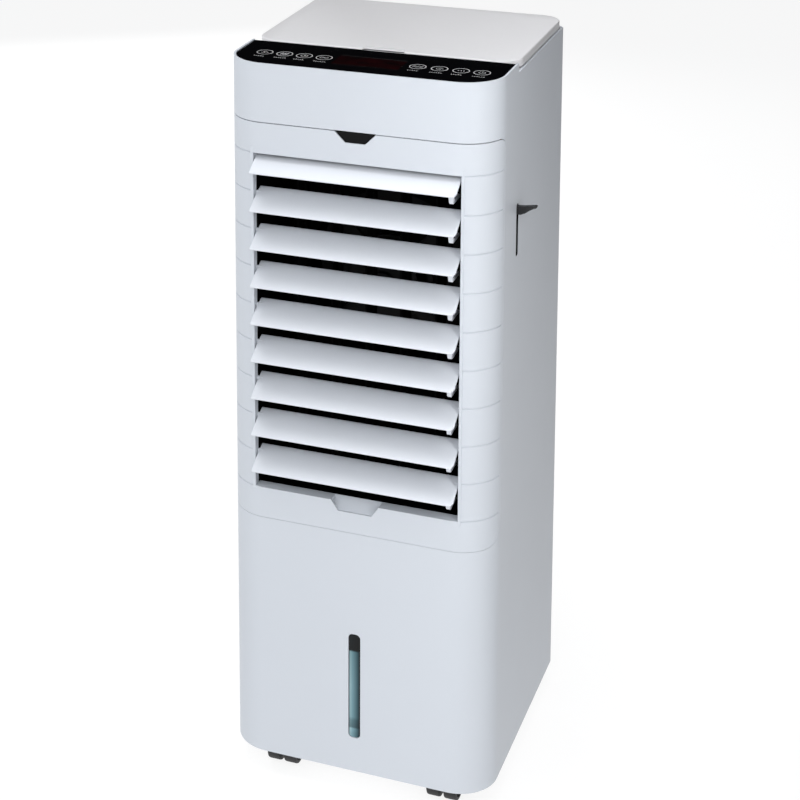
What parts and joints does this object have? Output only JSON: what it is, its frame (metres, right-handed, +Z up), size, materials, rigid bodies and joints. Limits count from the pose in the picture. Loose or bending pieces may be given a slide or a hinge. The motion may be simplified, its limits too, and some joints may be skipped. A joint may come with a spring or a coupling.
{
  "type": "evaporative cooler",
  "caption": "Tall white portable evaporative cooler with linked louvres, touch panel, rear water tank and casters.",
  "frame": {"origin": "centre of the cabinet's plan on the floor plane under the four casters", "axes": "front faces -Y, +X is the viewer's right when facing the front, +Z is up"},
  "size_m": [0.3306, 0.347, 0.85],
  "materials": {
    "white_shell": "satin cool-white moulded ABS",
    "lid_white": "satin warm-white moulded ABS",
    "louvre_white": "satin white moulded ABS",
    "panel_black": "polished black acrylic",
    "display_red": "smoked dark red acrylic",
    "circuit_green": "fibreglass circuit board with solder mask",
    "receiver_black": "smoked infrared acrylic",
    "level_teal": "tinted clear acrylic",
    "inner_black": "matt black moulding",
    "base_grey": "matt light grey polypropylene",
    "motor_steel": "zinc-plated steel",
    "fan_plastic": "glass-filled moulding",
    "pump_black": "matt black moulding",
    "hose_clear": "milky silicone tube",
    "pad_brown": "resin-treated corrugated paper",
    "mesh_grey": "woven dust mesh",
    "caster_black": "matt black nylon",
    "wheel_black": "black polyurethane tread"
  },
  "bodies": {
    "cabinet": {"front_shell": "white_shell", "rear_cover": "white_shell", "base_pan": "base_grey", "top_deck": "lid_white", "control_panel": "panel_black", "display_window": "display_red", "control_board": "circuit_green", "grille_frame": "white_shell", "receiver_window": "receiver_black", "level_window": "level_teal", "air_duct": "inner_black", "lever_guide": "inner_black", "swing_motor": "motor_steel", "blower_housing": "inner_black", "fan_motor": "motor_steel", "motor_bracket": "motor_steel", "drip_tray": "base_grey", "pump": "pump_black", "water_hose": "hose_clear", "distributor": "base_grey", "cooling_pad": "pad_brown", "pad_frame": "base_grey", "main_board": "circuit_green", "cord_gland": "pump_black", "screws": "motor_steel"},
    "louvre_1": {"louvre_1": "louvre_white"},
    "louvre_2": {"louvre_2": "louvre_white"},
    "louvre_3": {"louvre_3": "louvre_white"},
    "louvre_4": {"louvre_4": "louvre_white"},
    "louvre_5": {"louvre_5": "louvre_white"},
    "louvre_6": {"louvre_6": "louvre_white"},
    "louvre_7": {"louvre_7": "louvre_white"},
    "louvre_8": {"louvre_8": "louvre_white"},
    "louvre_9": {"louvre_9": "louvre_white"},
    "louvre_link": {"louvre_link": "inner_black"},
    "side_lever": {"side_lever": "inner_black"},
    "vane_1": {"vane_1": "inner_black"},
    "vane_2": {"vane_2": "inner_black"},
    "vane_3": {"vane_3": "inner_black"},
    "vane_4": {"vane_4": "inner_black"},
    "vane_5": {"vane_5": "inner_black"},
    "vane_link": {"vane_link": "inner_black"},
    "blower": {"blower_wheel": "fan_plastic", "fan_shaft": "motor_steel"},
    "pump_impeller": {"pump_impeller": "fan_plastic"},
    "lid": {"lid": "lid_white", "lid_pins": "motor_steel"},
    "water_tank": {"water_tank": "white_shell"},
    "filter": {"filter_frame": "white_shell", "filter_mesh": "mesh_grey"},
    "caster_yoke_1": {"caster_yoke_1": "caster_black"},
    "caster_wheels_1": {"caster_wheels_1": "wheel_black"},
    "caster_yoke_2": {"caster_yoke_2": "caster_black"},
    "caster_wheels_2": {"caster_wheels_2": "wheel_black"},
    "caster_yoke_3": {"caster_yoke_3": "caster_black"},
    "caster_wheels_3": {"caster_wheels_3": "wheel_black"},
    "caster_yoke_4": {"caster_yoke_4": "caster_black"},
    "caster_wheels_4": {"caster_wheels_4": "wheel_black"}
  },
  "joints": [
    {"name": "louvre_1_tilt", "type": "hinge", "parent": "cabinet", "child": "louvre_1", "pos_m": [0, -0.147, 0.7431], "axis": [1, 0, 0], "range_deg": [0, 60]},
    {"name": "louvre_2_tilt", "type": "hinge", "parent": "cabinet", "child": "louvre_2", "pos_m": [0, -0.147, 0.6996], "axis": [1, 0, 0], "range_deg": [0, 60]},
    {"name": "louvre_3_tilt", "type": "hinge", "parent": "cabinet", "child": "louvre_3", "pos_m": [0, -0.147, 0.6561], "axis": [1, 0, 0], "range_deg": [0, 60]},
    {"name": "louvre_4_tilt", "type": "hinge", "parent": "cabinet", "child": "louvre_4", "pos_m": [0, -0.147, 0.6126], "axis": [1, 0, 0], "range_deg": [0, 60]},
    {"name": "louvre_5_tilt", "type": "hinge", "parent": "cabinet", "child": "louvre_5", "pos_m": [0, -0.147, 0.5691], "axis": [1, 0, 0], "range_deg": [0, 60]},
    {"name": "louvre_6_tilt", "type": "hinge", "parent": "cabinet", "child": "louvre_6", "pos_m": [0, -0.147, 0.5256], "axis": [1, 0, 0], "range_deg": [0, 60]},
    {"name": "louvre_7_tilt", "type": "hinge", "parent": "cabinet", "child": "louvre_7", "pos_m": [0, -0.147, 0.4821], "axis": [1, 0, 0], "range_deg": [0, 60]},
    {"name": "louvre_8_tilt", "type": "hinge", "parent": "cabinet", "child": "louvre_8", "pos_m": [0, -0.147, 0.4386], "axis": [1, 0, 0], "range_deg": [0, 60]},
    {"name": "louvre_9_tilt", "type": "hinge", "parent": "cabinet", "child": "louvre_9", "pos_m": [0, -0.147, 0.3951], "axis": [1, 0, 0], "range_deg": [0, 60]},
    {"name": "louvre_link_pivot", "type": "hinge", "parent": "louvre_1", "child": "louvre_link", "pos_m": [0, -0.131, 0.7173], "axis": [1, 0, 0], "range_deg": [-60, 0]},
    {"name": "side_lever_slide", "type": "slide", "parent": "cabinet", "child": "side_lever", "axis": [0, 0, -1], "range_m": [0, 0.0452]},
    {"name": "vane_1_swing", "type": "hinge", "parent": "cabinet", "child": "vane_1", "pos_m": [-0.08, -0.096, 0.56], "axis": [0, 0, 1], "range_deg": [-35, 35]},
    {"name": "vane_2_swing", "type": "hinge", "parent": "cabinet", "child": "vane_2", "pos_m": [-0.04, -0.096, 0.56], "axis": [0, 0, 1], "range_deg": [-35, 35]},
    {"name": "vane_3_swing", "type": "hinge", "parent": "cabinet", "child": "vane_3", "pos_m": [0, -0.096, 0.56], "axis": [0, 0, 1], "range_deg": [-35, 35]},
    {"name": "vane_4_swing", "type": "hinge", "parent": "cabinet", "child": "vane_4", "pos_m": [0.04, -0.096, 0.56], "axis": [0, 0, 1], "range_deg": [-35, 35]},
    {"name": "vane_5_swing", "type": "hinge", "parent": "cabinet", "child": "vane_5", "pos_m": [0.08, -0.096, 0.56], "axis": [0, 0, 1], "range_deg": [-35, 35]},
    {"name": "vane_link_pivot", "type": "hinge", "parent": "vane_1", "child": "vane_link", "pos_m": [-0.08, -0.08, 0.3561], "axis": [0, 0, 1], "range_deg": [-35, 35]},
    {"name": "blower_spin", "type": "hinge", "parent": "cabinet", "child": "blower", "pos_m": [0, 0.036, 0.575], "axis": [0, 1, 0], "continuous": true},
    {"name": "impeller_spin", "type": "hinge", "parent": "cabinet", "child": "pump_impeller", "pos_m": [0.066, 0.1, 0.062], "axis": [0, 0, 1], "continuous": true},
    {"name": "lid_hinge", "type": "hinge", "parent": "cabinet", "child": "lid", "pos_m": [0, 0.1515, 0.845], "axis": [-1, 0, 0], "range_deg": [0, 85]},
    {"name": "tank_slide", "type": "slide", "parent": "cabinet", "child": "water_tank", "axis": [0, 1, 0], "range_m": [0, 0.2]},
    {"name": "filter_pull", "type": "slide", "parent": "cabinet", "child": "filter", "axis": [0, 1, 0], "range_m": [0, 0.06]},
    {"name": "caster_1_swivel", "type": "hinge", "parent": "cabinet", "child": "caster_yoke_1", "pos_m": [-0.096, -0.108, 0.044], "axis": [0, 0, 1], "continuous": true},
    {"name": "caster_1_roll", "type": "hinge", "parent": "caster_yoke_1", "child": "caster_wheels_1", "pos_m": [-0.096, -0.12, 0.018], "axis": [1, 0, 0], "continuous": true},
    {"name": "caster_2_swivel", "type": "hinge", "parent": "cabinet", "child": "caster_yoke_2", "pos_m": [0.096, -0.108, 0.044], "axis": [0, 0, 1], "continuous": true},
    {"name": "caster_2_roll", "type": "hinge", "parent": "caster_yoke_2", "child": "caster_wheels_2", "pos_m": [0.096, -0.12, 0.018], "axis": [1, 0, 0], "continuous": true},
    {"name": "caster_3_swivel", "type": "hinge", "parent": "cabinet", "child": "caster_yoke_3", "pos_m": [-0.096, 0.108, 0.044], "axis": [0, 0, 1], "continuous": true},
    {"name": "caster_3_roll", "type": "hinge", "parent": "caster_yoke_3", "child": "caster_wheels_3", "pos_m": [-0.096, 0.096, 0.018], "axis": [1, 0, 0], "continuous": true},
    {"name": "caster_4_swivel", "type": "hinge", "parent": "cabinet", "child": "caster_yoke_4", "pos_m": [0.096, 0.108, 0.044], "axis": [0, 0, 1], "continuous": true},
    {"name": "caster_4_roll", "type": "hinge", "parent": "caster_yoke_4", "child": "caster_wheels_4", "pos_m": [0.096, 0.096, 0.018], "axis": [1, 0, 0], "continuous": true}
  ],
  "couplings": [
    {"joint": "louvre_2_tilt", "follows": "louvre_1_tilt", "ratio": 1},
    {"joint": "louvre_3_tilt", "follows": "louvre_1_tilt", "ratio": 1},
    {"joint": "louvre_4_tilt", "follows": "louvre_1_tilt", "ratio": 1},
    {"joint": "louvre_5_tilt", "follows": "louvre_1_tilt", "ratio": 1},
    {"joint": "louvre_6_tilt", "follows": "louvre_1_tilt", "ratio": 1},
    {"joint": "louvre_7_tilt", "follows": "louvre_1_tilt", "ratio": 1},
    {"joint": "louvre_8_tilt", "follows": "louvre_1_tilt", "ratio": 1},
    {"joint": "louvre_9_tilt", "follows": "louvre_1_tilt", "ratio": 1},
    {"joint": "louvre_link_pivot", "follows": "louvre_1_tilt", "ratio": -1},
    {"joint": "side_lever_slide", "follows": "louvre_1_tilt", "m_per_rad": 0.042972},
    {"joint": "vane_2_swing", "follows": "vane_1_swing", "ratio": 1},
    {"joint": "vane_3_swing", "follows": "vane_1_swing", "ratio": 1},
    {"joint": "vane_4_swing", "follows": "vane_1_swing", "ratio": 1},
    {"joint": "vane_5_swing", "follows": "vane_1_swing", "ratio": 1},
    {"joint": "vane_link_pivot", "follows": "vane_1_swing", "ratio": -1}
  ]
}
